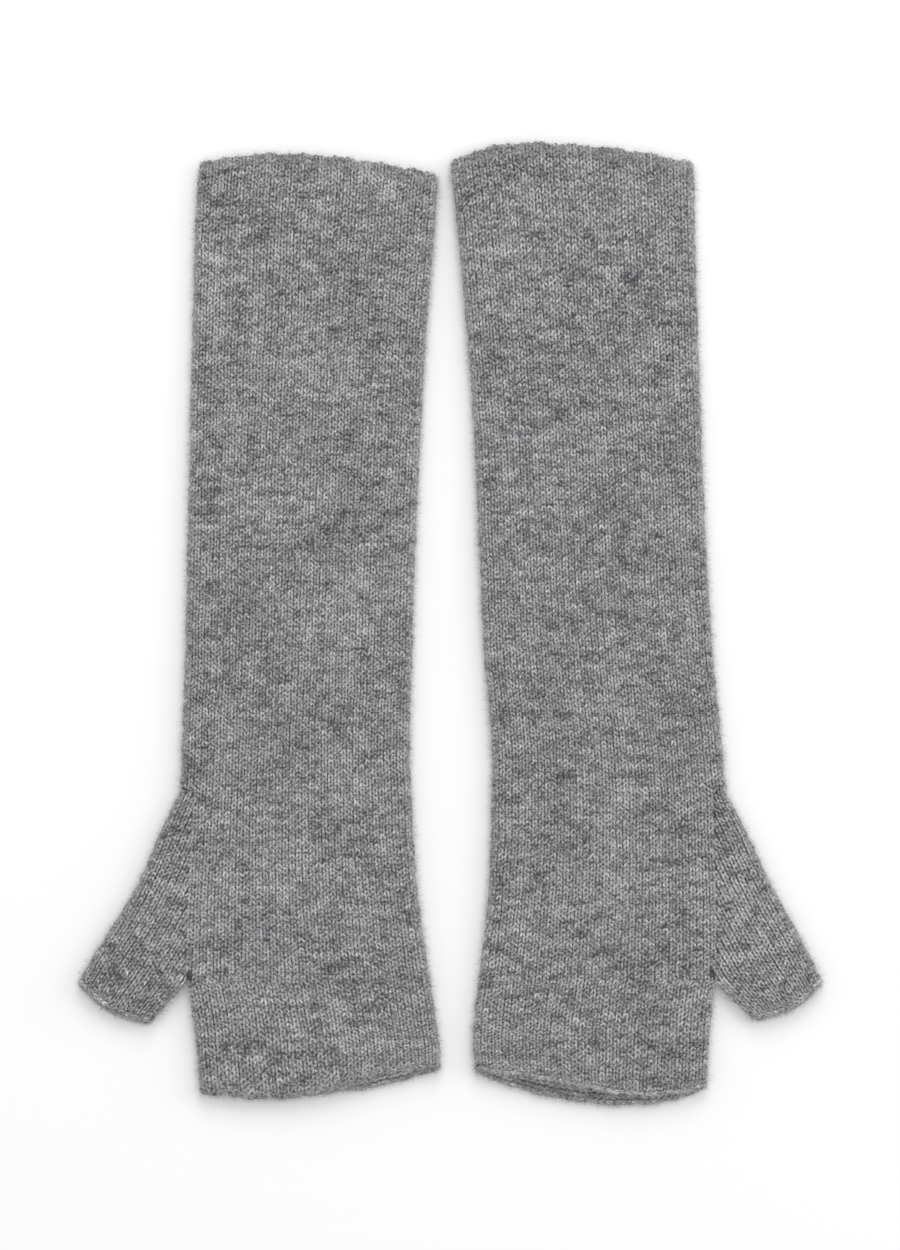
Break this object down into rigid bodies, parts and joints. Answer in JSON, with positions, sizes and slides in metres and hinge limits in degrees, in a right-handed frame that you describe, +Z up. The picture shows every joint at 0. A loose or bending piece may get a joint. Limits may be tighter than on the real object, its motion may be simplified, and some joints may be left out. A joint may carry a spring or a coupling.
{
  "type": "pair of wrist warmers",
  "caption": "Long fingerless wrist warmers in plain grey knit, laid flat: open tubes from the forearm to the knuckles, each with a short open thumb.",
  "frame": {"origin": "centre of the pair's bounding box at the bottom, on the surface that the cloth lies on, midway between the warmers", "axes": "+Y along the arms towards the forearm edges, +X across the pair, +Z up out of the cloth that faces the viewer"},
  "size_m": [0.2614, 0.3366, 0.0045],
  "materials": {
    "wool": "soft matte plain knit in mid-grey melange yarn with a short fuzz"
  },
  "bodies": {
    "root": {"left_body": "wool", "left_thumb": "wool", "right_body": "wool", "right_thumb": "wool"}
  },
  "joints": []
}
